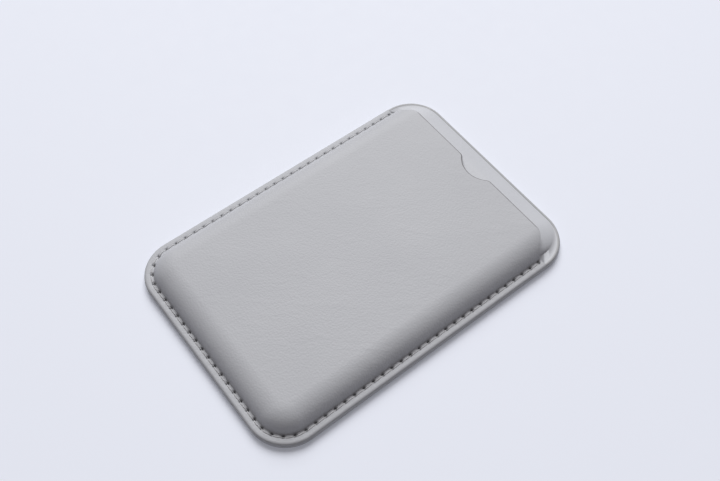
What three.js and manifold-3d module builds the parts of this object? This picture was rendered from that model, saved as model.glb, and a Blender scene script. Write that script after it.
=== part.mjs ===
// Stitched leather card wallet that holds itself to the back of a phone with a ring of magnets.
// Millimetres. The origin is at the centre of the back, +Y is the open end of the pocket, +Z is up.
import * as THREE from 'three';
import { mergeVertices } from 'three/addons/utils/BufferGeometryUtils.js';
import Module from 'manifold-3d';

const wasm = await Module();
wasm.setup();

// Outline of the sewn wallet
const WIDTH = 65.8;
const LENGTH = 96;
const CORNER_RADIUS = 10.4;

// Layers, from the phone side up
const BACK_THICKNESS = 0.8;
const TRAY_THICKNESS = 1.8;
const SHIELD_THICKNESS = 0.3;
const PAD_THICKNESS = 0.9;
const FACING_THICKNESS = 0.5;
const POCKET_GAP = 0.9;
const LINING_THICKNESS = 0.2;
const FRONT_THICKNESS = 0.7;
const CROWN_HEIGHT = 0.1;

// Moulded raised form: the shoulder between the sewn flange and the flat top
const SHOULDER_FOOT = 2.5;
const SHOULDER_WIDTH = 6.6;
const SHOULDER_FOOT_RISE = 0.62;
const SHOULDER_TOP_REACH = 0.58;
const FOOT_STEP_PER_DEPTH = 0.6;
const OPEN_END_SHIFT = 2.2;
const OPEN_END_SOFTNESS = 0.7;
const CROWN_INSET = 9;

// Rounded cut edges of the leather
const RIM_ROUND_WIDTH = 0.7;
const RIM_ROUND_HEIGHT = 0.7;
const BACK_ROUND = 0.4;

// Free edge of the front panel, with its thumb notch
const FREE_EDGE_INSET = 6.8;
const FREE_EDGE_HALF_LENGTH = 23.6;
const FLANGE_END_INSET = 11.0;
const NOTCH_HALF_WIDTH = 6.3;
const NOTCH_DEPTH = 2.6;
const NOTCH_LIP_RADIUS = 2.2;

// Lock-stitched seam along the three closed sides, let into the leather
const SEAM_INSET = 1.95;
const STITCH_PITCH = 2.85;
const THREAD_RADIUS = 0.2;
const NEEDLE_HOLE_RADIUS = 0.6;
const NEEDLE_HOLE_DEPTH = 0.5;
const GROOVE_HALF_WIDTH = 0.42;
const FRONT_GROOVE_DEPTH = 0.15;
const BACK_GROOVE_DEPTH = 0.5;
const SEAM_END_GAP = 1.0;
const THREAD_DIP = 0.08;
const THREAD_SEAT_GAP = 0.08;

// Ring of magnets, its alignment bar and the steel plate over them
const RING_CENTRE_Y = 12;
const TRAY_SIDE_WALL = 0.6;
const RING_BAND = 4;
const MAGNET_THICKNESS = 1.2;
const MAGNET_COUNT = 16;
const MAGNET_SPACING = 0.4;
const BAR_WIDTH = 6;
const BAR_LENGTH = 15;
const BAR_OFFSET = 4;
const SHIELD_INSET = 9.6;
const CLEARANCE = 0.3;

// Fineness of the curves
const CORNER_STEPS = 8;
const SHOULDER_STEPS = 6;
const RIM_STEPS = 3;
const RING_STEPS = 64;
const EDGE_STEPS = 6;
const STEPS_PER_STITCH = 4;
const THREAD_HALF_SIDES = 2;
const HOLE_SIDES = 5;

// Heights of the faces between the layers, at the flange and at the raised centre
const backTop = BACK_THICKNESS;
const facingFlangeTop = backTop + FACING_THICKNESS;
const liningFlangeTop = facingFlangeTop + LINING_THICKNESS;
const flangeTop = liningFlangeTop + FRONT_THICKNESS;
const trayTop = backTop + TRAY_THICKNESS;
const shieldTop = trayTop + SHIELD_THICKNESS;
const padTop = shieldTop + PAD_THICKNESS;
const facingTop = padTop + FACING_THICKNESS;
const liningBottom = facingTop + POCKET_GAP;
const liningTop = liningBottom + LINING_THICKNESS;
const frontTop = liningTop + FRONT_THICKNESS;

// Solids and cuts

function toSolid(geometry) {
  const bare = geometry.clone();
  bare.deleteAttribute('normal');
  bare.deleteAttribute('uv');
  const merged = mergeVertices(bare, 1e-4);
  return new wasm.Manifold(new wasm.Mesh({
    numProp: 3,
    vertProperties: new Float32Array(merged.attributes.position.array),
    triVerts: new Uint32Array(merged.index.array),
  }));
}

function toGeometry(solid) {
  const { vertProperties, triVerts } = solid.getMesh();
  const geometry = new THREE.BufferGeometry();
  geometry.setAttribute('position', new THREE.BufferAttribute(vertProperties, 3));
  geometry.setIndex(new THREE.BufferAttribute(triVerts, 1));
  geometry.computeVertexNormals();
  return geometry;
}

function cut(geometry, ...tools) {
  const solid = tools.reduce((left, tool) => left.subtract(toSolid(tool)), toSolid(geometry));
  return toGeometry(solid);
}

function extrude(shape, bottom, top, curveSegments = RING_STEPS) {
  const geometry = new THREE.ExtrudeGeometry(shape, {
    depth: top - bottom, bevelEnabled: false, curveSegments,
  });
  return geometry.translate(0, 0, bottom);
}

// One level of a moulded piece: the wallet's outline drawn in by `side` on the three sewn sides
// and by `end` at the open end, at the height z.
function level(side, z, end = side) {
  return { side, end, z };
}

function levelPoints({ side, end, z }) {
  const radius = Math.max(CORNER_RADIUS - side, 1);
  const right = WIDTH / 2 - side - radius;
  const top = LENGTH / 2 - end - radius;
  const bottom = -LENGTH / 2 + side + radius;
  const corners = [[right, bottom, -90], [right, top, 0], [-right, top, 90], [-right, bottom, 180]];
  const points = [];
  for (const [x, y, startAngle] of corners) {
    for (let step = 0; step <= CORNER_STEPS; step += 1) {
      const angle = THREE.MathUtils.degToRad(startAngle + (90 * step) / CORNER_STEPS);
      points.push(new THREE.Vector3(x + radius * Math.cos(angle), y + radius * Math.sin(angle), z));
    }
  }
  return points;
}

// A closed body through a row of levels, capped flat at the first one and at the last one.
function loft(levels) {
  const rings = levels.map(levelPoints);
  const count = rings[0].length;
  const vertices = rings.flat();
  const triangles = [];
  for (let ring = 0; ring + 1 < rings.length; ring += 1) {
    for (let index = 0; index < count; index += 1) {
      const next = (index + 1) % count;
      const low = ring * count;
      const high = low + count;
      triangles.push(low + index, low + next, high + next, low + index, high + next, high + index);
    }
  }
  const lastRing = (rings.length - 1) * count;
  for (const [a, b, c] of THREE.ShapeUtils.triangulateShape(rings[0], [])) {
    triangles.push(c, b, a, lastRing + a, lastRing + b, lastRing + c);
  }
  const geometry = new THREE.BufferGeometry().setFromPoints(vertices);
  geometry.setIndex(triangles);
  geometry.computeVertexNormals();
  return geometry;
}

// The shoulder of one face, `depth` below the front face: steep at its foot and flat at its top.
// With a softness, its open end rises in a flatter slope than the sewn sides.
function shoulder(depth, footHeight, topHeight, softness = 0) {
  const foot = SHOULDER_FOOT + FOOT_STEP_PER_DEPTH * depth;
  const top = SHOULDER_FOOT + SHOULDER_WIDTH;
  const rise = topHeight - footHeight;
  const curve = new THREE.CubicBezierCurve(
    new THREE.Vector2(foot, footHeight),
    new THREE.Vector2(foot + (top - foot) * 0.1, footHeight + rise * SHOULDER_FOOT_RISE),
    new THREE.Vector2(top - (top - foot) * SHOULDER_TOP_REACH, topHeight),
    new THREE.Vector2(top, topHeight),
  );
  return curve.getPoints(SHOULDER_STEPS).map(({ x, y }) => {
    const slope = THREE.MathUtils.mapLinear(y, footHeight, topHeight, foot, top);
    return level(x, y, THREE.MathUtils.lerp(x, slope, softness) - OPEN_END_SHIFT);
  });
}

// The rounded top of a cut edge, from the face below the layer up to the flat of the flange.
// Where the sewn sides lie under another layer they stay square, and only the open end is rounded.
function roundedRim(bottomHeight, topHeight, sewnSidesRounded) {
  const roundHeight = Math.min(RIM_ROUND_HEIGHT, topHeight - bottomHeight);
  const levels = [];
  for (let step = 0; step <= RIM_STEPS; step += 1) {
    const angle = (Math.PI / 2) * (step / RIM_STEPS);
    const inset = RIM_ROUND_WIDTH * (1 - Math.cos(angle));
    const height = topHeight - roundHeight * (1 - Math.sin(angle));
    levels.push(level(sewnSidesRounded ? inset : 0, height, inset));
  }
  return levels;
}

// The line of the stitches, from the open end down the right side, round and up the left side
const seamX = WIDTH / 2 - SEAM_INSET;
const seamBottom = -LENGTH / 2 + SEAM_INSET;
const seamTop = LENGTH / 2 - FLANGE_END_INSET - SEAM_END_GAP;
const seamRadius = CORNER_RADIUS - SEAM_INSET;
const seamLine = new THREE.Path();
seamLine.moveTo(seamX, seamTop);
seamLine.lineTo(seamX, seamBottom + seamRadius);
seamLine.absarc(seamX - seamRadius, seamBottom + seamRadius, seamRadius, 0, -Math.PI / 2, true);
seamLine.lineTo(-seamX + seamRadius, seamBottom);
seamLine.absarc(-seamX + seamRadius, seamBottom + seamRadius, seamRadius, -Math.PI / 2, -Math.PI, true);
seamLine.lineTo(-seamX, seamTop);
const stitchCount = Math.round(seamLine.getLength() / STITCH_PITCH);

// A strip that follows the seam, as wide as the groove that the thread lies in
function grooveStrip(bottom, top) {
  const left = [];
  const right = [];
  for (let step = 0; step <= stitchCount; step += 1) {
    const place = seamLine.getPointAt(step / stitchCount);
    const along = seamLine.getTangentAt(step / stitchCount);
    const across = new THREE.Vector2(-along.y, along.x).multiplyScalar(GROOVE_HALF_WIDTH);
    left.push(place.clone().add(across));
    right.unshift(place.clone().sub(across));
  }
  const first = seamLine.getTangentAt(0).multiplyScalar(GROOVE_HALF_WIDTH);
  const last = seamLine.getTangentAt(1).multiplyScalar(GROOVE_HALF_WIDTH);
  left[0].sub(first);
  right[stitchCount].sub(first);
  left[stitchCount].add(last);
  right[0].add(last);
  return extrude(new THREE.Shape([...left, ...right]), bottom, top);
}

// Where the needle went in: one small cone at each end of each stitch, pointing into the leather
function needleHoles(surface, direction) {
  const holes = [];
  for (let hole = 0; hole <= stitchCount; hole += 1) {
    const { x, y } = seamLine.getPointAt(hole / stitchCount);
    const cone = new THREE.ConeGeometry(NEEDLE_HOLE_RADIUS, NEEDLE_HOLE_DEPTH, HOLE_SIDES);
    cone.rotateX((-direction * Math.PI) / 2);
    cone.translate(x, y, surface - direction * (NEEDLE_HOLE_DEPTH / 2));
    holes.push(cone);
  }
  return holes;
}

// One thread of the lock stitch: it lies on the leather between two holes and dips at each of them.
function stitchedThread(surface, direction) {
  const rise = THREAD_RADIUS + THREAD_SEAT_GAP;
  const stops = [[0, -THREAD_DIP], [0.16, 0.75 * rise], [0.5, rise], [0.84, 0.75 * rise]];
  const points = [];
  for (let stop = 0; stop <= stitchCount * stops.length; stop += 1) {
    const [share, height] = stops[stop % stops.length];
    const stitch = Math.floor(stop / stops.length);
    const { x, y } = seamLine.getPointAt(Math.min((stitch + share) / stitchCount, 1));
    points.push(new THREE.Vector3(x, y, surface + direction * height));
  }
  const section = new THREE.Shape();
  section.absarc(0, 0, THREAD_RADIUS, 0, 2 * Math.PI, false);
  return new THREE.ExtrudeGeometry(section, {
    steps: stitchCount * STEPS_PER_STITCH,
    curveSegments: THREAD_HALF_SIDES,
    extrudePath: new THREE.CatmullRomCurve3(points),
  });
}

// The flat leather against the phone
function backLeather() {
  const sheet = loft([
    level(BACK_ROUND, 0),
    level(BACK_ROUND * 0.3, BACK_ROUND * 0.3),
    level(0, BACK_ROUND),
    level(0, backTop),
  ]);
  return cut(sheet, grooveStrip(-1, BACK_GROOVE_DEPTH), ...needleHoles(BACK_GROOVE_DEPTH, -1));
}

// The moulded leather behind the cards, raised over the magnets and open to view past the free edge
function pocketFacing() {
  const depth = FRONT_THICKNESS + LINING_THICKNESS;
  const under = shoulder(depth + FACING_THICKNESS + CLEARANCE, backTop, padTop, OPEN_END_SOFTNESS);
  const over = shoulder(depth + CLEARANCE, facingFlangeTop, facingTop, OPEN_END_SOFTNESS);
  return loft([
    ...under.reverse(),
    ...roundedRim(backTop, facingFlangeTop, false),
    ...over,
  ]);
}

// Layers of the front are moulded a little longer than the wallet and trimmed to the free edge.
function trimmedFront(levels, ...tools) {
  const blank = levels.map(({ side, z }) => level(side, z, side - OPEN_END_SHIFT));
  return cut(loft(blank), openEndTrim(), ...tools);
}

function frontPanel() {
  const grooveFloor = flangeTop - FRONT_GROOVE_DEPTH;
  const under = shoulder(FRONT_THICKNESS, liningFlangeTop, liningTop);
  const over = shoulder(0, flangeTop, frontTop);
  return trimmedFront([
    ...under.reverse(),
    ...roundedRim(liningFlangeTop, flangeTop, true),
    ...over,
    level(SHOULDER_FOOT + SHOULDER_WIDTH + CROWN_INSET, frontTop + CROWN_HEIGHT),
  ], grooveStrip(grooveFloor, flangeTop + 1), ...needleHoles(grooveFloor, 1));
}

function frontLining() {
  const under = shoulder(FRONT_THICKNESS + LINING_THICKNESS, facingFlangeTop, liningBottom);
  const over = shoulder(FRONT_THICKNESS + CLEARANCE / 2, liningFlangeTop, liningTop);
  return trimmedFront([
    ...under.reverse(),
    level(0, facingFlangeTop),
    level(0, liningFlangeTop),
    ...over,
  ]);
}

// Everything beyond the free edge: across the flange, over the shoulder, along the straight edge
// and round the thumb notch, the same on both sides of the middle.
function openEndTrim() {
  const freeEdge = LENGTH / 2 - FREE_EDGE_INSET;
  const flangeEnd = LENGTH / 2 - FLANGE_END_INSET;
  const reach = NOTCH_HALF_WIDTH ** 2 + NOTCH_DEPTH ** 2;
  const notchRadius = reach / (2 * NOTCH_DEPTH) - NOTCH_LIP_RADIUS;
  const notchCentre = freeEdge - NOTCH_DEPTH + notchRadius;
  const lipCentre = freeEdge - NOTCH_LIP_RADIUS;
  const lipAngle = Math.atan2(notchCentre - lipCentre, NOTCH_HALF_WIDTH);
  const bendX = (seamX + FREE_EDGE_HALF_LENGTH) / 2;

  const outline = new THREE.Shape();
  outline.moveTo(-WIDTH, flangeEnd);
  outline.lineTo(-seamX, flangeEnd);
  outline.bezierCurveTo(-bendX, flangeEnd, -bendX, freeEdge, -FREE_EDGE_HALF_LENGTH, freeEdge);
  outline.absarc(-NOTCH_HALF_WIDTH, lipCentre, NOTCH_LIP_RADIUS, Math.PI / 2, lipAngle, true);
  outline.absarc(0, notchCentre, notchRadius, Math.PI + lipAngle, -lipAngle, false);
  outline.absarc(NOTCH_HALF_WIDTH, lipCentre, NOTCH_LIP_RADIUS, Math.PI - lipAngle, Math.PI / 2, true);
  outline.lineTo(FREE_EDGE_HALF_LENGTH, freeEdge);
  outline.bezierCurveTo(bendX, freeEdge, bendX, flangeEnd, seamX, flangeEnd);
  outline.lineTo(WIDTH, flangeEnd);
  outline.lineTo(WIDTH, LENGTH);
  outline.lineTo(-WIDTH, LENGTH);
  return extrude(outline, -1, frontTop + CROWN_HEIGHT + 1, EDGE_STEPS);
}

// The level of the core at a height: it fills the raised form, a clearance inside the facing.
function coreLevel(height) {
  const depth = FRONT_THICKNESS + LINING_THICKNESS + FACING_THICKNESS + 2 * CLEARANCE;
  const profile = shoulder(depth, backTop, padTop, OPEN_END_SOFTNESS);
  const above = Math.max(profile.findIndex(({ z }) => z >= height), 1);
  const [lower, upper] = [profile[above - 1], profile[above]];
  const share = (height - lower.z) / (upper.z - lower.z);
  const side = THREE.MathUtils.lerp(lower.side, upper.side, share);
  const end = THREE.MathUtils.lerp(lower.end, upper.end, share);
  return level(side + CLEARANCE, height, end + CLEARANCE);
}

function annulus(innerRadius, outerRadius, centreY) {
  const ring = new THREE.Shape();
  ring.absarc(0, centreY, outerRadius, 0, 2 * Math.PI, false);
  const hole = new THREE.Path();
  hole.absarc(0, centreY, innerRadius, 0, 2 * Math.PI, true);
  ring.holes.push(hole);
  return ring;
}

function rectangle(width, length, centreY) {
  const shape = new THREE.Shape();
  shape.moveTo(-width / 2, centreY - length / 2);
  shape.lineTo(width / 2, centreY - length / 2);
  shape.lineTo(width / 2, centreY + length / 2);
  shape.lineTo(-width / 2, centreY + length / 2);
  return shape;
}

const channelRoof = backTop + MAGNET_THICKNESS + CLEARANCE;
const ringOuterRadius = WIDTH / 2 - coreLevel(channelRoof).side - CLEARANCE - TRAY_SIDE_WALL;
const ringInnerRadius = ringOuterRadius - RING_BAND;
const barCentreY = RING_CENTRE_Y - ringOuterRadius - BAR_OFFSET - BAR_LENGTH / 2;

// The moulded tray: a ring channel and a bar pocket, both open to the back leather
function magnetTray() {
  const body = loft([coreLevel(backTop), coreLevel((backTop + trayTop) / 2), coreLevel(trayTop)]);
  const channel = annulus(ringInnerRadius - CLEARANCE, ringOuterRadius + CLEARANCE, RING_CENTRE_Y);
  const pocket = rectangle(BAR_WIDTH + 2 * CLEARANCE, BAR_LENGTH + 2 * CLEARANCE, barCentreY);
  return cut(body, extrude(channel, 0, channelRoof), extrude(pocket, 0, channelRoof));
}

function magnetArc(index) {
  const pitch = (2 * Math.PI) / MAGNET_COUNT;
  const middleRadius = (ringInnerRadius + ringOuterRadius) / 2;
  const span = pitch - MAGNET_SPACING / middleRadius;
  const start = pitch * index - span / 2;
  const shape = new THREE.Shape();
  shape.absarc(0, RING_CENTRE_Y, ringOuterRadius, start, start + span, false);
  shape.absarc(0, RING_CENTRE_Y, ringInnerRadius, start + span, start, true);
  return extrude(shape, backTop, backTop + MAGNET_THICKNESS, EDGE_STEPS);
}

function alignmentMagnet() {
  const shape = rectangle(BAR_WIDTH, BAR_LENGTH, barCentreY);
  return extrude(shape, backTop, backTop + MAGNET_THICKNESS);
}

// Steel sheet that keeps the magnets' field away from the cards
function shieldPlate() {
  const inset = level(SHIELD_INSET, trayTop, SHIELD_INSET - OPEN_END_SHIFT);
  return loft([inset, { ...inset, z: shieldTop }]);
}

// Foam that rounds the raised form off over the plate
function corePad() {
  const middle = (shieldTop + padTop) / 2;
  return loft([coreLevel(shieldTop), coreLevel(middle), coreLevel(padTop)]);
}

const materials = {
  leather: new THREE.MeshStandardMaterial({ color: 0xbcbdc1, roughness: 0.55, metalness: 0 }),
  lining: new THREE.MeshStandardMaterial({ color: 0xa9aaae, roughness: 0.9, metalness: 0 }),
  thread: new THREE.MeshStandardMaterial({ color: 0xc9c9cb, roughness: 0.7, metalness: 0 }),
  plastic: new THREE.MeshStandardMaterial({ color: 0x3a3a3c, roughness: 0.6, metalness: 0 }),
  foam: new THREE.MeshStandardMaterial({ color: 0x55565a, roughness: 0.95, metalness: 0 }),
  steel: new THREE.MeshStandardMaterial({ color: 0xb4b6b9, roughness: 0.35, metalness: 1 }),
  nickel: new THREE.MeshStandardMaterial({ color: 0xc9c6bf, roughness: 0.25, metalness: 1 }),
};

const wallet = new THREE.Group();

function add(name, geometry, material) {
  const mesh = new THREE.Mesh(geometry, material);
  mesh.name = name;
  wallet.add(mesh);
}

add('back_leather', backLeather(), materials.leather);
add('magnet_tray', magnetTray(), materials.plastic);
for (let index = 0; index < MAGNET_COUNT; index += 1) {
  const number = String(index + 1).padStart(2, '0');
  add(`magnet_arc_${number}`, magnetArc(index), materials.nickel);
}
add('alignment_magnet', alignmentMagnet(), materials.nickel);
add('shield_plate', shieldPlate(), materials.steel);
add('core_pad', corePad(), materials.foam);
add('pocket_facing', pocketFacing(), materials.leather);
add('front_lining', frontLining(), materials.lining);
add('front_panel', frontPanel(), materials.leather);
add('needle_thread', stitchedThread(flangeTop - FRONT_GROOVE_DEPTH, 1), materials.thread);
add('bobbin_thread', stitchedThread(BACK_GROOVE_DEPTH, -1), materials.thread);

export default wallet;
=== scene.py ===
# A sewn leather card wallet with a ring of magnets in its back, lying on a white table.
import math

import bmesh
import bpy
from mathutils import Euler, Matrix, Vector, geometry, kdtree


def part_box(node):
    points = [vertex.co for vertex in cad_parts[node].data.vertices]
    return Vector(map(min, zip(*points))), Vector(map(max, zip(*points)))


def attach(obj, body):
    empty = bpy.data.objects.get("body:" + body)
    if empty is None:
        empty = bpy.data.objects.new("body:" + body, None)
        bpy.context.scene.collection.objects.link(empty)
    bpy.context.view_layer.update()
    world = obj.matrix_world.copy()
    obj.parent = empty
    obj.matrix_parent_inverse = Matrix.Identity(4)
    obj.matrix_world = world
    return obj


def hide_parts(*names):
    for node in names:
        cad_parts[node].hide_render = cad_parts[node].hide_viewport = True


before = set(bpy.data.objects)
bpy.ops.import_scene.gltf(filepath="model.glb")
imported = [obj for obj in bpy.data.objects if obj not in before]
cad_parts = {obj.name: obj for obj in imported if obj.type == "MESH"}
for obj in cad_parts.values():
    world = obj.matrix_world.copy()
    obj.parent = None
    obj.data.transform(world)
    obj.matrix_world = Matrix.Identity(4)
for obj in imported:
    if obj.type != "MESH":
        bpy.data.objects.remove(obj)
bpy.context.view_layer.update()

# Camera
# The photograph looks down on the wallet from beyond its lower right corner, with the open end of
# the pocket at the upper right.
CAMERA_AZIMUTH = math.radians(52.10)
CAMERA_ELEVATION = math.radians(58.16)
CAMERA_ROLL = math.radians(0.30)
CAMERA_DISTANCE = 0.2416
CAMERA_TARGET = Vector((-0.00357, 0.00444, 0))
CAMERA_LENS_MM = 45.7

camera_data = bpy.data.cameras.new("camera")
camera_data.lens = CAMERA_LENS_MM
camera_data.sensor_width = 36
camera_data.clip_start = 0.005
camera = bpy.data.objects.new("camera", camera_data)
bpy.context.scene.collection.objects.link(camera)
camera.location = CAMERA_TARGET + CAMERA_DISTANCE * Vector((
    math.sin(CAMERA_AZIMUTH) * math.cos(CAMERA_ELEVATION),
    -math.cos(CAMERA_AZIMUTH) * math.cos(CAMERA_ELEVATION),
    math.sin(CAMERA_ELEVATION),
))
aim = Euler((math.pi / 2 - CAMERA_ELEVATION, 0, CAMERA_AZIMUTH)).to_matrix()
camera.rotation_euler = (aim @ Matrix.Rotation(CAMERA_ROLL, 3, "Z")).to_euler()
bpy.context.scene.camera = camera
bpy.context.scene.view_settings.view_transform = "Standard"

# Back leather
# The flat sheet that lies on the phone: light grey coated leather with a fine pressed grain, cut to
# the wallet's outline. Its lower edge is rounded off, and on the side that lies on the phone the
# seam runs in a groove.
MM = 0.001
back_low, back_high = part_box("back_leather")
WIDTH = back_high.x - back_low.x
LENGTH = back_high.y - back_low.y
CORNER_RADIUS = 10.4 * MM
CORNER_SEGMENTS = 44
EDGE_SPACING = 0.24 * MM
BACK_ROUND = 0.4 * MM
SEAM_INSET = 1.95 * MM
SEAM_TOP = LENGTH / 2 - 12.0 * MM
STITCH_PITCH = 2.85 * MM
HOLE_RADIUS = 0.42 * MM
HOLE_DEPTH = 0.5 * MM
HOLE_OFFSET = 0.12 * MM
PUCKER_RADIUS = 0.75 * MM
PUCKER_DEPTH = 0.08 * MM
BACK_GROOVE_DEPTH = 0.5 * MM
GROOVE_HALF_WIDTH = 0.45 * MM
FLAT_RINGS_FROM = 0.6 * MM
FLAT_RING_SPACING = 0.13 * MM
FLAT_RINGS = 30
BACK_PAINT_WIDTH = 0.35 * MM
SHARP_ANGLE = math.radians(50)
GRAIN_DIRECTION = math.radians(52)
CREASE_STRETCH = 2.6
GRAIN_WARP = 0.4 * MM
BUMP_DEPTH = 0.06 * MM
# Painted shade: the dark tone given to the insides of the needle holes.
PAINTED_HOLE_SHADE = (0.05, 0.048, 0.05, 1)


def blank(bm, stretch, low, high):
    """A flat sheet with the wallet's outline, its open end `stretch` further out.
    It gives back the upper face and the lower one."""
    bmesh.ops.create_grid(bm, x_segments=1, y_segments=1, size=0.5)
    bmesh.ops.scale(bm, vec=(WIDTH, LENGTH + stretch, 1), verts=bm.verts)
    bmesh.ops.translate(bm, vec=(0, stretch / 2, low), verts=bm.verts)
    bmesh.ops.bevel(
        bm, geom=bm.verts[:], offset=CORNER_RADIUS, offset_type="OFFSET", affect="VERTICES",
        segments=CORNER_SEGMENTS, profile=0.5, material=-1,
    )
    for edge in [e for e in bm.edges if e.calc_length() > CORNER_RADIUS]:
        cuts = round(edge.calc_length() / EDGE_SPACING) - 1
        bmesh.ops.subdivide_edges(bm, edges=[edge], cuts=cuts)
    lower = bm.faces[:][0]
    if lower.normal.z > 0:
        lower.normal_flip()
    grown = bmesh.ops.extrude_face_region(bm, geom=[lower], use_keep_orig=True)["geom"]
    upper = next(item for item in grown if isinstance(item, bmesh.types.BMFace))
    bmesh.ops.translate(bm, vec=(0, 0, high - low), verts=upper.verts)
    upper.normal_update()
    if upper.normal.z < 0:
        upper.normal_flip()
    return upper, lower


def press(bm, face, profile, end_insets=None):
    """Draws a face in through (inset, height) points, as a moulding tool presses leather.
    `end_insets` gives the insets of the open end, where they aren't those of the sewn sides."""
    for step in range(1, len(profile)):
        inset = profile[step][0] - profile[step - 1][0]
        rise = profile[step][1] - profile[step - 1][1]
        bmesh.ops.inset_region(bm, faces=[face], thickness=inset, depth=0, use_even_offset=True)
        bmesh.ops.translate(bm, vec=(0, 0, rise), verts=face.verts)
        if end_insets:
            pull = end_insets[step] - end_insets[step - 1] - inset
            for vert in face.verts:
                vert.co.y -= pull * min(max(vert.co.y / (LENGTH / 2 - CORNER_RADIUS), 0), 1)


def quarter_round(width, top, height, steps=5):
    """(inset, height) points of a rounded edge that ends level at `top`."""
    angles = [math.pi / 2 * step / steps for step in range(steps + 1)]
    return [(width * (1 - math.cos(a)), top - height * (1 - math.sin(a))) for a in angles]


seam_x = WIDTH / 2 - SEAM_INSET
seam_bottom = -LENGTH / 2 + SEAM_INSET
seam_radius = CORNER_RADIUS - SEAM_INSET
half_bottom = seam_x - seam_radius
corner_run = seam_radius * math.pi / 2
half_seam = half_bottom + corner_run + SEAM_TOP - seam_bottom - seam_radius
stitch_count = round(2 * half_seam / STITCH_PITCH)


def seam_place(share):
    """Point of the seam and its inward direction: 0 is its right end, 1 is its left end."""
    side = 1 if share < 0.5 else -1
    distance = abs(1 - 2 * share) * half_seam
    if distance < half_bottom:
        return Vector((side * distance, seam_bottom, 0)), Vector((0, 1, 0))
    angle = min((distance - half_bottom) / seam_radius, math.pi / 2)
    inward = Vector((-side * math.sin(angle), math.cos(angle), 0))
    centre = Vector((side * half_bottom, seam_bottom + seam_radius, 0))
    beyond = max(distance - half_bottom - corner_run, 0)
    return centre - seam_radius * inward + Vector((0, beyond, 0)), inward


needle_holes = kdtree.KDTree(stitch_count + 1)
for hole in range(stitch_count + 1):
    place, inward = seam_place(hole / stitch_count)
    needle_holes.insert(place + HOLE_OFFSET * inward, hole)
needle_holes.balance()


def prick(bm, surface, direction):
    """Sinks the needle holes, with the leather drawn in around them, into the side that looks
    towards `direction`, and marks their insides, which are given painted shade."""
    mark = bm.verts.layers.float.new("needle_hole")
    for vert in bm.verts:
        distance = needle_holes.find((vert.co.x, vert.co.y, 0))[2]
        if direction * (vert.co.z - surface) < -0.1 * MM or distance > 4 * PUCKER_RADIUS:
            continue
        hole_share = math.exp(-(distance / HOLE_RADIUS) ** 4)
        pucker = PUCKER_DEPTH * math.exp(-(distance / PUCKER_RADIUS) ** 2)
        vert.co.z -= direction * (pucker + HOLE_DEPTH * hole_share)
        vert[mark] = hole_share


def groove(inset, depth):
    """How deep the seam's groove is at an inset from the edge."""
    return depth * math.exp(-((inset - SEAM_INSET) / GROOVE_HALF_WIDTH) ** 4)


def edge_inset(point):
    """Distance of a point from the cut edge of the wallet, seen from above."""
    x = abs(point.x) - WIDTH / 2 + CORNER_RADIUS
    y = abs(point.y) - LENGTH / 2 + CORNER_RADIUS
    outside = math.hypot(max(x, 0), max(y, 0))
    return CORNER_RADIUS - outside - min(max(x, y), 0)


def finish_piece(bm, name, materials, *nodes):
    """Turns the mesh into a piece of the wallet that stands for the CAD nodes named."""
    bmesh.ops.recalc_face_normals(bm, faces=bm.faces)
    mesh = bpy.data.meshes.new(name)
    bm.to_mesh(mesh)
    bm.free()
    for material in materials:
        mesh.materials.append(material)
    mesh.shade_smooth()
    mesh.set_sharp_from_angle(angle=SHARP_ANGLE)
    piece = bpy.data.objects.new(name, mesh)
    bpy.context.scene.collection.objects.link(piece)
    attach(piece, "root")
    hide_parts(*nodes)
    return piece


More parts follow.
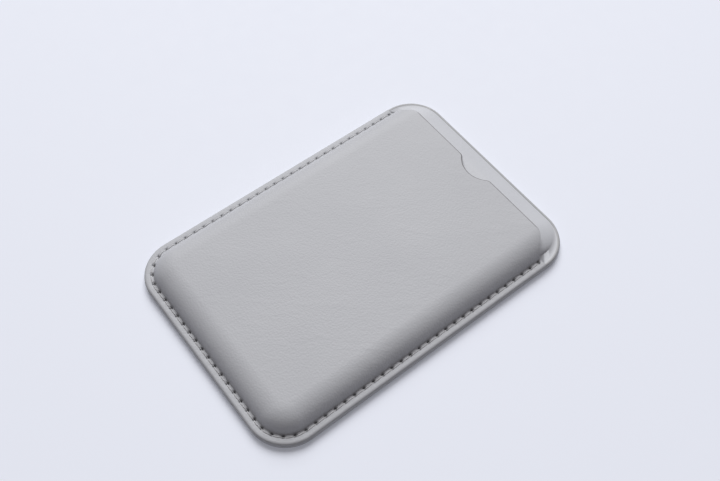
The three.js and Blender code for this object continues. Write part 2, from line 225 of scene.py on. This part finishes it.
def grain_group():
    """Shader group of pressed leather grain: small pebbles, drawn creases and a soft waviness."""
    group = bpy.data.node_groups.new("leather_grain", "ShaderNodeTree")
    for name, default in (("Pebble Size", 0.45), ("Crease Amount", 0.9)):
        socket = group.interface.new_socket(name, in_out="INPUT", socket_type="NodeSocketFloat")
        socket.default_value = default
    for name in ("Height", "Tone"):
        group.interface.new_socket(name, in_out="OUTPUT", socket_type="NodeSocketFloat")
    nodes, links = group.nodes, group.links
    inputs = nodes.new("NodeGroupInput")
    outputs = nodes.new("NodeGroupOutput")
    place = nodes.new("ShaderNodeTexCoord")

    def maths(operation, first, second):
        node = nodes.new("ShaderNodeMath")
        node.operation = operation
        for socket, value in zip(node.inputs, (first, second)):
            if isinstance(value, (int, float)):
                socket.default_value = value
            else:
                links.new(value, socket)
        return node.outputs[0]

    density = maths("DIVIDE", 1000, inputs.outputs["Pebble Size"])
    warp = nodes.new("ShaderNodeTexNoise")
    warp.inputs["Scale"].default_value = 900
    warp.inputs["Detail"].default_value = 2
    links.new(place.outputs["Object"], warp.inputs["Vector"])
    bend = nodes.new("ShaderNodeVectorMath")
    bend.operation = "MULTIPLY_ADD"
    bend.inputs[1].default_value = (GRAIN_WARP, GRAIN_WARP, GRAIN_WARP)
    links.new(warp.outputs["Color"], bend.inputs[0])
    links.new(place.outputs["Object"], bend.inputs[2])
    pebbles = nodes.new("ShaderNodeTexVoronoi")
    pebbles.feature = "SMOOTH_F1"
    pebbles.inputs["Smoothness"].default_value = 0.6
    links.new(density, pebbles.inputs["Scale"])
    links.new(bend.outputs["Vector"], pebbles.inputs["Vector"])
    creases = nodes.new("ShaderNodeTexNoise")
    creases.noise_type = "RIDGED_MULTIFRACTAL"
    creases.inputs["Scale"].default_value = 330
    creases.inputs["Detail"].default_value = 3
    creases.inputs["Distortion"].default_value = 0.6
    stretch = nodes.new("ShaderNodeMapping")
    stretch.vector_type = "TEXTURE"
    stretch.inputs["Rotation"].default_value = (0, 0, GRAIN_DIRECTION)
    stretch.inputs["Scale"].default_value = (CREASE_STRETCH, 1, 1)
    links.new(place.outputs["Object"], stretch.inputs["Vector"])
    links.new(stretch.outputs["Vector"], creases.inputs["Vector"])
    waves = nodes.new("ShaderNodeTexNoise")
    waves.inputs["Scale"].default_value = 60
    waves.inputs["Detail"].default_value = 2
    links.new(place.outputs["Object"], waves.inputs["Vector"])
    crease_height = maths("MULTIPLY", creases.outputs["Fac"], inputs.outputs["Crease Amount"])
    fine = maths("SUBTRACT", crease_height, pebbles.outputs["Distance"])
    height = maths("ADD", fine, maths("MULTIPLY", waves.outputs["Fac"], 0.8))
    links.new(height, outputs.inputs["Height"])
    links.new(waves.outputs["Fac"], outputs.inputs["Tone"])
    return group


leather_grain = grain_group()


def leather_material(name, light, dark, roughness, relief):
    """Coated leather: its two tones, the grain as bump, and painted shade inside the needle holes.
    """
    material = bpy.data.materials.new(name)
    material.use_nodes = True
    nodes, links = material.node_tree.nodes, material.node_tree.links
    shader = nodes["Principled BSDF"]
    shader.inputs["Roughness"].default_value = roughness
    shader.inputs["Specular IOR Level"].default_value = 0.4
    grain = nodes.new("ShaderNodeGroup")
    grain.node_tree = leather_grain
    tone = nodes.new("ShaderNodeMix")
    tone.data_type = "RGBA"
    tone.inputs["A"].default_value = dark
    tone.inputs["B"].default_value = light
    links.new(grain.outputs["Tone"], tone.inputs["Factor"])
    # Painted shade inside the needle holes, mixed in where the holes are marked.
    holes = nodes.new("ShaderNodeAttribute")
    holes.attribute_name = "needle_hole"
    shaded = nodes.new("ShaderNodeMix")
    shaded.data_type = "RGBA"
    shaded.inputs["B"].default_value = PAINTED_HOLE_SHADE
    links.new(holes.outputs["Fac"], shaded.inputs["Factor"])
    links.new(tone.outputs["Result"], shaded.inputs["A"])
    links.new(shaded.outputs["Result"], shader.inputs["Base Color"])
    bump = nodes.new("ShaderNodeBump")
    bump.inputs["Strength"].default_value = relief
    bump.inputs["Distance"].default_value = BUMP_DEPTH
    links.new(grain.outputs["Height"], bump.inputs["Height"])
    links.new(bump.outputs["Normal"], shader.inputs["Normal"])
    return material


grey_leather = leather_material(
    "grey_leather", light=(0.496, 0.503, 0.526, 1), dark=(0.448, 0.455, 0.480, 1),
    roughness=0.5, relief=0.55,
)
edge_paint = leather_material(
    "edge_paint", light=(0.415, 0.418, 0.430, 1), dark=(0.385, 0.388, 0.400, 1),
    roughness=0.45, relief=0.15,
)

bm = bmesh.new()
upper, lower = blank(bm, 0, BACK_ROUND, back_high.z)
lower_profile = [(inset, -height) for inset, height in quarter_round(BACK_ROUND, 0, BACK_ROUND)]
flat_rings = [FLAT_RINGS_FROM + FLAT_RING_SPACING * ring for ring in range(FLAT_RINGS)]
lower_profile += [(inset, groove(inset, BACK_GROOVE_DEPTH)) for inset in flat_rings]
press(bm, lower, lower_profile)
for vert in bm.verts:
    if vert.co.y > SEAM_TOP + GROOVE_HALF_WIDTH and edge_inset(vert.co) > BACK_ROUND:
        vert.co.z = 0 if vert.co.z < BACK_GROOVE_DEPTH + 0.01 * MM else vert.co.z
prick(bm, 0, -1)
for face in bm.faces:
    if edge_inset(face.calc_center_median()) < BACK_PAINT_WIDTH:
        face.material_index = 1
back_sheet = finish_piece(bm, "back_sheet", [grey_leather, edge_paint], "back_leather")

# Magnets, tray, steel plate and foam
# Sixteen nickel plated arcs and a bar sit in a black moulded tray, under a thin steel plate and a
# foam pad. All of it is sealed between the leathers.
def plain_material(name, colour, roughness, metallic=0.0, speckle=0.08, scale=700):
    """A finish with a slight mottle in its colour and roughness."""
    material = bpy.data.materials.new(name)
    material.use_nodes = True
    nodes, links = material.node_tree.nodes, material.node_tree.links
    shader = nodes["Principled BSDF"]
    shader.inputs["Metallic"].default_value = metallic
    place = nodes.new("ShaderNodeTexCoord")
    mottle = nodes.new("ShaderNodeTexNoise")
    mottle.inputs["Scale"].default_value = scale
    mottle.inputs["Detail"].default_value = 4
    links.new(place.outputs["Object"], mottle.inputs["Vector"])
    tone = nodes.new("ShaderNodeMix")
    tone.data_type = "RGBA"
    tone.inputs["A"].default_value = (*[channel * (1 - speckle) for channel in colour], 1)
    tone.inputs["B"].default_value = (*[min(channel * (1 + speckle), 1) for channel in colour], 1)
    links.new(mottle.outputs["Fac"], tone.inputs["Factor"])
    links.new(tone.outputs["Result"], shader.inputs["Base Color"])
    gloss = nodes.new("ShaderNodeMapRange")
    gloss.inputs["To Min"].default_value = max(roughness - 0.08, 0.05)
    gloss.inputs["To Max"].default_value = min(roughness + 0.08, 1)
    links.new(mottle.outputs["Fac"], gloss.inputs["Value"])
    links.new(gloss.outputs["Result"], shader.inputs["Roughness"])
    return material


def dress(node_name, material):
    """Gives a CAD node its finish."""
    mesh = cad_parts[node_name].data
    mesh.materials.clear()
    mesh.materials.append(material)


nickel = plain_material("nickel_plating", (0.58, 0.56, 0.52), roughness=0.25, metallic=1)
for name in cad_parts:
    if name.startswith("magnet_arc") or name == "alignment_magnet":
        dress(name, nickel)
dress("magnet_tray", plain_material("black_plastic", (0.03, 0.03, 0.032), roughness=0.55))
dress("shield_plate", plain_material("steel_sheet", (0.46, 0.47, 0.48), 0.35, metallic=1))
dress("core_pad", plain_material("grey_foam", (0.09, 0.09, 0.10), 0.95, speckle=0.4, scale=2500))

# Pocket facing
# The leather behind the cards, moulded over the magnets. It shows as a band past the front's free
# edge, where it slopes down to its own rounded edge at the open end.
SHOULDER_TOP = 9.1 * MM
FOOT = 2.5 * MM
FOOT_STEP_PER_DEPTH = 0.6
OPEN_END_SHIFT = 2.2 * MM
OPEN_END_SOFTNESS = 0.7
FOOT_HANDLE = 0.1
FOOT_RISE = 0.62
TOP_HANDLE = 0.58
RIM_ROUND = 0.7 * MM
CLEARANCE = 0.3 * MM
ROUNDED_SHARE = 0.98
CREASE_WIDTH = 0.2 * MM
CREASE_DEPTH = 0.10 * MM
RAISED_RIM = 0.75 * MM
RAISED_FROM = LENGTH / 2 - 11.6 * MM
RAISED_RUN = 0.6 * MM
RAISED_WHOLE_FROM = 0.8
FACING_PAINT_WIDTH = 0.9 * MM
front_low, front_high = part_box("front_panel")
facing_low, facing_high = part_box("pocket_facing")
lining_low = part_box("front_lining")[0]
FACING_THICKNESS = 0.5 * MM
FRONT_THICKNESS = 0.7 * MM
facing_flange = facing_low.z + FACING_THICKNESS


def shoulder(foot, low, high, points=18):
    """(inset, height) points of a moulded shoulder, steep at its foot and flat at its top."""
    run = SHOULDER_TOP - foot
    rise = high - low
    curve = geometry.interpolate_bezier(
        Vector((foot, low)), Vector((foot + FOOT_HANDLE * run, low + FOOT_RISE * rise)),
        Vector((SHOULDER_TOP - TOP_HANDLE * run, high)), Vector((SHOULDER_TOP, high)), points,
    )
    return [(point.x, point.y) for point in curve]


def soft_end(profile):
    """Insets of the open end of a shoulder, which rises there in a flatter slope."""
    foot, low = profile[0]
    high = profile[-1][1]
    insets = []
    for inset, height in profile:
        slope = foot + (SHOULDER_TOP - foot) * (height - low) / (high - low)
        insets.append(inset + (slope - inset) * OPEN_END_SOFTNESS - OPEN_END_SHIFT)
    return insets


bm = bmesh.new()
rounded = FACING_THICKNESS * ROUNDED_SHARE
upper, lower = blank(bm, 0, facing_low.z, facing_flange - rounded)
rim = quarter_round(RIM_ROUND, facing_flange, rounded, steps=7)
layers_above = FRONT_THICKNESS + front_low.z - lining_low.z
facing_foot = FOOT + FOOT_STEP_PER_DEPTH * (layers_above + CLEARANCE)
over = shoulder(facing_foot, facing_flange, facing_high.z)
rim.append((RIM_ROUND + CREASE_WIDTH, facing_flange - CREASE_DEPTH))
press(bm, upper, rim + over, [inset for inset, height in rim] + soft_end(over))
for vert in bm.verts:
    inset = edge_inset(vert.co)
    if inset < RIM_ROUND + 0.01 * MM and vert.co.y < RAISED_FROM:
        out = Vector((abs(vert.co.x) - half_bottom, -vert.co.y - LENGTH / 2 + CORNER_RADIUS, 0))
        out = Vector((max(out.x, 0), max(out.y, 0), 0)).normalized() * inset
        vert.co += Vector((math.copysign(out.x, vert.co.x), -out.y, 0))
    share = min(max((vert.co.y - RAISED_FROM) / RAISED_RUN, 0), 1)
    below = (vert.co.z - facing_low.z) / (RAISED_WHOLE_FROM * FACING_THICKNESS)
    above = (facing_high.z - vert.co.z) / (facing_high.z - facing_flange)
    vert.co.z += RAISED_RIM * share * min(max(below, 0), above, 1)
under = shoulder(facing_foot + FOOT_STEP_PER_DEPTH * FACING_THICKNESS, facing_low.z,
                 facing_high.z - FACING_THICKNESS, points=8)
press(bm, lower, [(0, facing_low.z)] + under, [0] + soft_end(under))
for face in bm.faces:
    if edge_inset(face.calc_center_median()) < FACING_PAINT_WIDTH:
        face.material_index = 1
# The facing is the same grey leather; its lighter tones are painted light, for the band that slopes
# towards the window.
pocket_leather_painted_light = leather_material(
    "pocket_leather_painted_light", light=(0.570, 0.580, 0.610, 1), dark=(0.530, 0.540, 0.570, 1),
    roughness=0.5, relief=0.4,
)
facing = finish_piece(bm, "facing_leather", [pocket_leather_painted_light, edge_paint], "pocket_facing")

# Front lining
# Thin matt microfibre glued behind the front, on the card side. Only its edge shows in the mouth.
dress("front_lining", plain_material("microfibre", (0.36, 0.36, 0.38), 0.95, scale=3000))

# Front panel
# One piece of leather pressed over a form: a flat sewn flange, a round shoulder and a flat top.
# At the open end it is cut to a free edge with a thumb notch in the middle.
FREE_EDGE = LENGTH / 2 - 6.8 * MM
FREE_EDGE_HALF_LENGTH = 23.6 * MM
FLANGE_END = LENGTH / 2 - 11.0 * MM
NOTCH_HALF_WIDTH = 6.3 * MM
NOTCH_DEPTH = 2.6 * MM
NOTCH_LIP_RADIUS = 2.2 * MM
FRONT_GROOVE_DEPTH = 0.15 * MM
THREAD_BED = 0.06 * MM
CUT_ROUND = 0.42 * MM
FRONT_BLANK = 0.02 * MM
FLANGE_RINGS = 17
FRONT_PAINT_WIDTH = 0.3 * MM
KNIFE_HEIGHT = 10 * MM
HAIR = 0.001 * MM
CROWN_HEIGHT = 0.1 * MM
CROWN_STEPS = 6
flange_top = front_low.z + FRONT_THICKNESS
front_flat = front_high.z - CROWN_HEIGHT


def arc(centre, radius, start, end, steps=12):
    """Points of an arc, its angles in radians."""
    turns = [start + (end - start) * step / steps for step in range(steps + 1)]
    return [Vector((centre[0] + radius * math.cos(a), centre[1] + radius * math.sin(a), 0))
            for a in turns]


def bend(start, handle_1, handle_2, end, steps=14):
    """Points of a curve that leaves one straight line and joins another."""
    points = [Vector((x, y, 0)) for x, y in (start, handle_1, handle_2, end)]
    return geometry.interpolate_bezier(*points, steps)


def free_edge_points(back):
    """The cut of the open end drawn `back` into the sheet, from its left edge to its right one."""
    reach = NOTCH_HALF_WIDTH ** 2 + NOTCH_DEPTH ** 2
    notch_radius = reach / (2 * NOTCH_DEPTH) - NOTCH_LIP_RADIUS
    notch_centre = FREE_EDGE - NOTCH_DEPTH + notch_radius
    lip_centre = FREE_EDGE - NOTCH_LIP_RADIUS
    lip_angle = math.atan2(notch_centre - lip_centre, NOTCH_HALF_WIDTH)
    bend_x = (seam_x + FREE_EDGE_HALF_LENGTH) / 2
    edge_y, flange_y = FREE_EDGE - back, FLANGE_END - back
    left = [Vector((-WIDTH, flange_y, 0))]
    left += bend((-seam_x, flange_y), (-bend_x, flange_y), (-bend_x, edge_y),
                 (-FREE_EDGE_HALF_LENGTH, edge_y))
    lip_radius = NOTCH_LIP_RADIUS - back
    left += arc((-NOTCH_HALF_WIDTH, lip_centre), lip_radius, math.pi / 2, lip_angle)
    notch = arc((0, notch_centre), notch_radius + back,
                math.pi + lip_angle, 2 * math.pi - lip_angle, 24)
    right = [Vector((-point.x, point.y, 0)) for point in reversed(left)]
    return left + notch[1:-1] + right


bm = bmesh.new()
upper, lower = blank(bm, OPEN_END_SHIFT, front_low.z, front_low.z + FRONT_BLANK)
top_profile = quarter_round(RIM_ROUND, flange_top, FRONT_THICKNESS - FRONT_BLANK)
flat_run = FOOT - RIM_ROUND
flat_rings = [RIM_ROUND + flat_run * ring / FLANGE_RINGS for ring in range(1, FLANGE_RINGS)]
top_profile += [(inset, flange_top - groove(inset, THREAD_BED)) for inset in flat_rings]
top_profile += shoulder(FOOT, flange_top, front_flat, points=24)
press(bm, upper, top_profile)
for step in range(1, CROWN_STEPS + 1):
    shrink = 1 - step / (CROWN_STEPS + 1)
    previous = 1 - (step - 1) / (CROWN_STEPS + 1)
    bmesh.ops.inset_region(bm, faces=[upper], thickness=HAIR, depth=0)
    bmesh.ops.scale(bm, vec=(shrink / previous, shrink / previous, 1), verts=upper.verts)
    lift = CROWN_HEIGHT * (previous ** 2 - shrink ** 2)
    bmesh.ops.translate(bm, vec=(0, 0, lift), verts=upper.verts)
prick(bm, flange_top - FRONT_GROOVE_DEPTH, 1)
under_foot = FOOT + FOOT_STEP_PER_DEPTH * FRONT_THICKNESS
under = shoulder(under_foot, front_low.z, front_flat - FRONT_THICKNESS, points=10)
press(bm, lower, [(0, front_low.z)] + under)
for face in bm.faces:
    if edge_inset(face.calc_center_median()) < FRONT_PAINT_WIDTH:
        face.material_index = 1
# The free edge's dark material: its edge paint, darkened further with painted shade of the pocket
# gap beneath it.
cut_edge_paint_and_shade = leather_material(
    "cut_edge_paint_and_shade", light=(0.27, 0.265, 0.275, 1), dark=(0.23, 0.225, 0.235, 1),
    roughness=0.5, relief=0.15,
)
front = finish_piece(bm, "front_leather", [grey_leather, edge_paint, cut_edge_paint_and_shade], "front_panel")

# The knife that cuts the open end, its own wall hollowed so that the free edge comes out rounded.
knife_mesh = bpy.data.meshes.new("knife")
bm = bmesh.new()
corners = [bm.verts.new(point) for point in free_edge_points(CUT_ROUND)]
corners += [bm.verts.new((side * WIDTH, LENGTH, 0)) for side in (1, -1)]
knife_face = bm.faces.new(corners)
knife_face.normal_update()
if knife_face.normal.z > 0:
    knife_face.normal_flip()
bmesh.ops.translate(bm, vec=(0, 0, KNIFE_HEIGHT), verts=bm.verts)
bmesh.ops.extrude_face_region(bm, geom=[knife_face], use_keep_orig=True)
knife_profile = [(0, KNIFE_HEIGHT), (HAIR, front_flat)]
for inset, height in reversed(quarter_round(CUT_ROUND, 0, CUT_ROUND)):
    knife_profile.append((CUT_ROUND - inset, front_flat + height))
knife_profile.append((CUT_ROUND, 0))
press(bm, knife_face, knife_profile)
bmesh.ops.recalc_face_normals(bm, faces=bm.faces)
# Every knife face carries the free edge's dark material onto the cut: edge paint plus painted shade
# of the gap beneath.
for face in bm.faces:
    face.material_index = 2
bm.to_mesh(knife_mesh)
bm.free()
for material in (grey_leather, edge_paint, cut_edge_paint_and_shade):
    knife_mesh.materials.append(material)
knife = bpy.data.objects.new("knife", knife_mesh)
bpy.context.scene.collection.objects.link(knife)
trim = front.modifiers.new("free_edge", "BOOLEAN")
trim.operation = "DIFFERENCE"
trim.solver = "EXACT"
trim.object = knife
bpy.context.view_layer.update()
evaluated = front.evaluated_get(bpy.context.evaluated_depsgraph_get())
trimmed = bpy.data.meshes.new_from_object(evaluated)
front.modifiers.clear()
front.data = trimmed
trimmed.name = "front_leather"
bpy.data.objects.remove(knife)

# Seam threads
# A lock stitch of two-ply polyester thread, a little lighter than the leather: the needle thread
# lies on the front between its holes, and the bobbin thread lies in a groove in the back.
THREAD_RADIUS = 0.2 * MM
PLY_RADIUS = 0.115 * MM
PLY_PITCH = 0.95 * MM
STITCH_SLANT = 0.08 * MM
STITCH_BOW = 0.12 * MM
STEPS_PER_STITCH = 22
UPPER_RISE = 0.11 * MM
UPPER_DIP = 0.5 * MM
LOWER_RISE = 0.27 * MM
LOWER_DIP = 0.08 * MM


def thread_path(surface, direction, rise, dip, ply):
    """Points of one ply of a thread that dips at each hole and lies over the leather between."""
    points = []
    twist_per_stitch = STITCH_PITCH / PLY_PITCH * 2 * math.pi
    for step in range(stitch_count * STEPS_PER_STITCH + 1):
        share = step / (stitch_count * STEPS_PER_STITCH)
        within = (step % STEPS_PER_STITCH) / STEPS_PER_STITCH
        place, inward = seam_place(share)
        arch = 1 - abs(2 * within - 1) ** 3.5
        height = -dip + (rise + dip) * arch
        slant = STITCH_SLANT * (1 - 2 * within) * arch - STITCH_BOW * arch
        angle = twist_per_stitch * step / STEPS_PER_STITCH + ply * math.pi
        sideways = slant + (THREAD_RADIUS - PLY_RADIUS) * math.cos(angle)
        upward = height + (THREAD_RADIUS - PLY_RADIUS) * math.sin(angle)
        points.append(place + inward * sideways + Vector((0, 0, surface + direction * upward)))
    return points


def thread(name, node, surface, direction, rise, dip):
    """A two-ply thread along the seam."""
    curve = bpy.data.curves.new(name, "CURVE")
    curve.dimensions = "3D"
    curve.bevel_depth = PLY_RADIUS
    curve.bevel_resolution = 1
    curve.use_fill_caps = True
    for ply in (0, 1):
        path = thread_path(surface, direction, rise, dip, ply)
        spline = curve.splines.new("POLY")
        spline.points.add(len(path) - 1)
        for point, place in zip(spline.points, path):
            point.co = (*place, 1)
    rope = bpy.data.objects.new(name + "_curve", curve)
    bpy.context.scene.collection.objects.link(rope)
    bpy.context.view_layer.update()
    evaluated = rope.evaluated_get(bpy.context.evaluated_depsgraph_get())
    mesh = bpy.data.meshes.new_from_object(evaluated)
    bpy.data.objects.remove(rope)
    mesh.name = name
    mesh.materials.clear()
    mesh.materials.append(thread_finish)
    mesh.shade_smooth()
    piece = bpy.data.objects.new(name, mesh)
    bpy.context.scene.collection.objects.link(piece)
    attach(piece, "root")
    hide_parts(node)
    return piece


thread_finish = plain_material("sewing_thread", (0.60, 0.60, 0.615), 0.75, speckle=0.15, scale=4000)
upper_seat = flange_top - FRONT_GROOVE_DEPTH
thread("upper_thread", "needle_thread", upper_seat, 1, UPPER_RISE, UPPER_DIP)
thread("lower_thread", "bobbin_thread", BACK_GROOVE_DEPTH, -1, LOWER_RISE, LOWER_DIP)

# Table and light
# A white table top under one large soft window, which stands beyond the open end and to the left,
# so that the near sides of the wallet are in soft shade.
WINDOW_DIRECTION = Vector((-0.75, 0.55, 1.0)).normalized()
WINDOW_DISTANCE = 4.0
WINDOW_SIZE = 3.0
WINDOW_POWER = 192

bpy.ops.mesh.primitive_plane_add(size=3)
table = bpy.context.object
table.name = "table_top"
table_paint = plain_material("white_table", (0.68, 0.70, 0.765), 0.7, speckle=0.01, scale=200)
# Besides its white colour the table glows evenly: painted light that lightens the shadows on it and
# fills the wallet's shaded sides.
table_glow = table_paint.node_tree.nodes["Principled BSDF"]
table_glow.inputs["Emission Color"].default_value = (0.80, 0.83, 0.93, 1)
table_glow.inputs["Emission Strength"].default_value = 0.20
table.data.materials.append(table_paint)
window_light = bpy.data.lights.new("window", "AREA")
window_light.shape = "SQUARE"
window_light.size = WINDOW_SIZE
window_light.energy = WINDOW_POWER
window_light.color = (0.985, 0.99, 1.0)
window = bpy.data.objects.new("window", window_light)
bpy.context.scene.collection.objects.link(window)
window.location = WINDOW_DIRECTION * WINDOW_DISTANCE
window.rotation_euler = WINDOW_DIRECTION.to_track_quat("Z", "Y").to_euler()
room = bpy.data.worlds.new("room")
room.use_nodes = True
room.node_tree.nodes["Background"].inputs["Color"].default_value = (1.0, 0.93, 0.95, 1)
room.node_tree.nodes["Background"].inputs["Strength"].default_value = 0.135
bpy.context.scene.world = room
